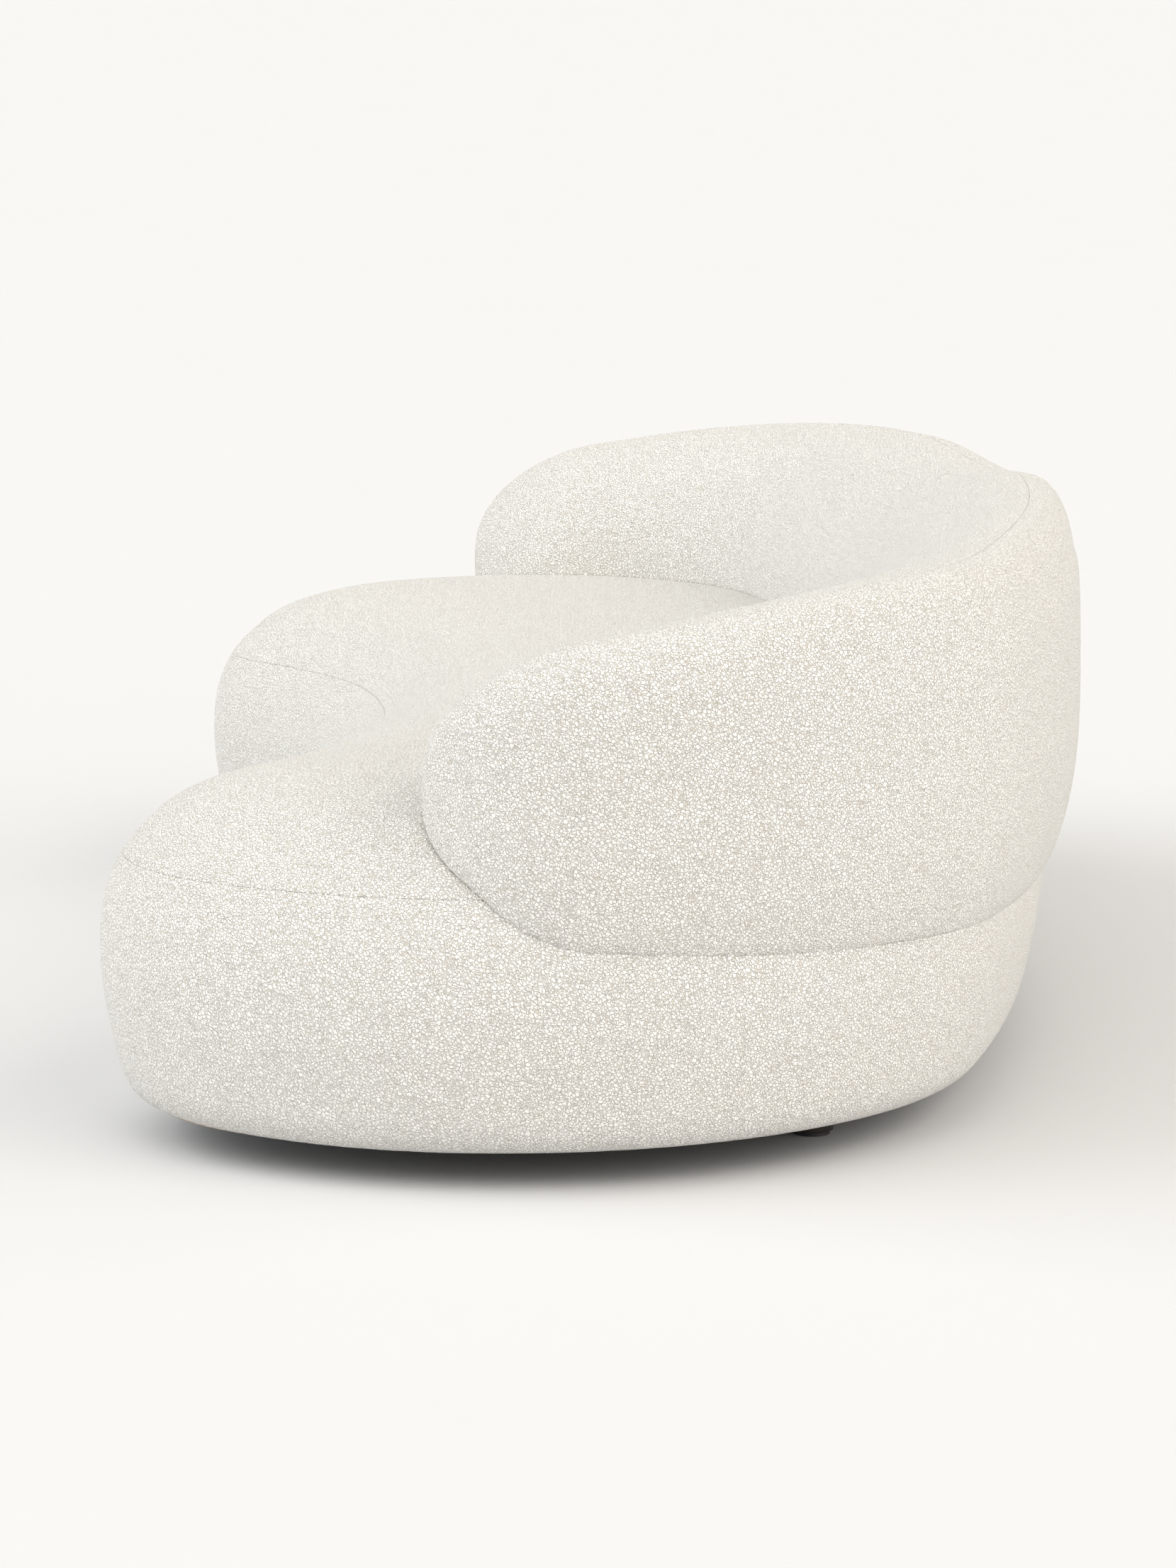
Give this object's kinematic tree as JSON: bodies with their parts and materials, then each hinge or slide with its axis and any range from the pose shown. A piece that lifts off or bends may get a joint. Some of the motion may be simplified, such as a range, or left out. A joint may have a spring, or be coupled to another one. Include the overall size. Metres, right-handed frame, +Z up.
{
  "type": "kidney-shaped sofa",
  "caption": "Kidney-shaped lounge sofa: a rounded seat unit in looped cream fabric with a thick wrap-around backrest, on low dark turned feet.",
  "frame": {"origin": "on the floor, under the middle of the whole sofa", "axes": "+X along the length of the sofa, +Y towards the back, so that a sitter looks along -Y, +Z up"},
  "size_m": [2.3699, 1.143, 0.645],
  "materials": {
    "boucle": "cream looped boucle upholstery fabric, matte with a soft sheen",
    "wadding": "white bonded polyester wadding",
    "foam": "open-cell polyurethane foam",
    "foot_wood": "turned hardwood, black-brown stain, satin lacquer",
    "glide": "moulded black glide",
    "zinc_steel": "zinc-plated steel",
    "spring_steel": "dark drawn spring steel",
    "felt": "grey needled felt",
    "dust_cloth": "black spunbonded cloth",
    "plywood": "birch plywood, unfinished",
    "fibreboard": "bending fibreboard",
    "pine": "planed pine, unfinished"
  },
  "bodies": {
    "root": {"back_bolts": "zinc_steel", "back_bottom_rail": "plywood", "back_cover_inner": "boucle", "back_cover_outer": "boucle", "back_foam_centre": "foam", "back_foam_left": "foam", "back_foam_right": "foam", "back_inner_panel": "fibreboard", "back_outer_panel": "fibreboard", "back_post_1": "pine", "back_post_2": "pine", "back_post_3": "pine", "back_post_4": "pine", "back_post_5": "pine", "back_post_6": "pine", "back_tee_nuts": "zinc_steel", "back_top_rail": "plywood", "back_wadding": "wadding", "base_bottom_panel": "plywood", "base_cross_rail_1": "pine", "base_cross_rail_2": "pine", "base_frame_screws": "zinc_steel", "base_post_1": "pine", "base_post_10": "pine", "base_post_2": "pine", "base_post_3": "pine", "base_post_4": "pine", "base_post_5": "pine", "base_post_6": "pine", "base_post_7": "pine", "base_post_8": "pine", "base_post_9": "pine", "base_side_liner": "fibreboard", "base_top_frame": "plywood", "dust_cover": "dust_cloth", "foot_1": "foot_wood", "foot_2": "foot_wood", "foot_3": "foot_wood", "foot_4": "foot_wood", "foot_5": "foot_wood", "foot_6": "foot_wood", "foot_bolts": "zinc_steel", "foot_glides": "glide", "foot_tee_nuts": "zinc_steel", "seat_cover_band": "boucle", "seat_cover_top": "boucle", "seat_foam": "foam", "seat_spring_1": "spring_steel", "seat_spring_2": "spring_steel", "seat_spring_3": "spring_steel", "seat_spring_4": "spring_steel", "seat_spring_5": "spring_steel", "seat_spring_6": "spring_steel", "seat_spring_7": "spring_steel", "seat_wadding": "wadding", "side_foam": "foam", "spacer_blocks": "pine", "spring_clips": "zinc_steel", "spring_felt": "felt"}
  },
  "joints": []
}
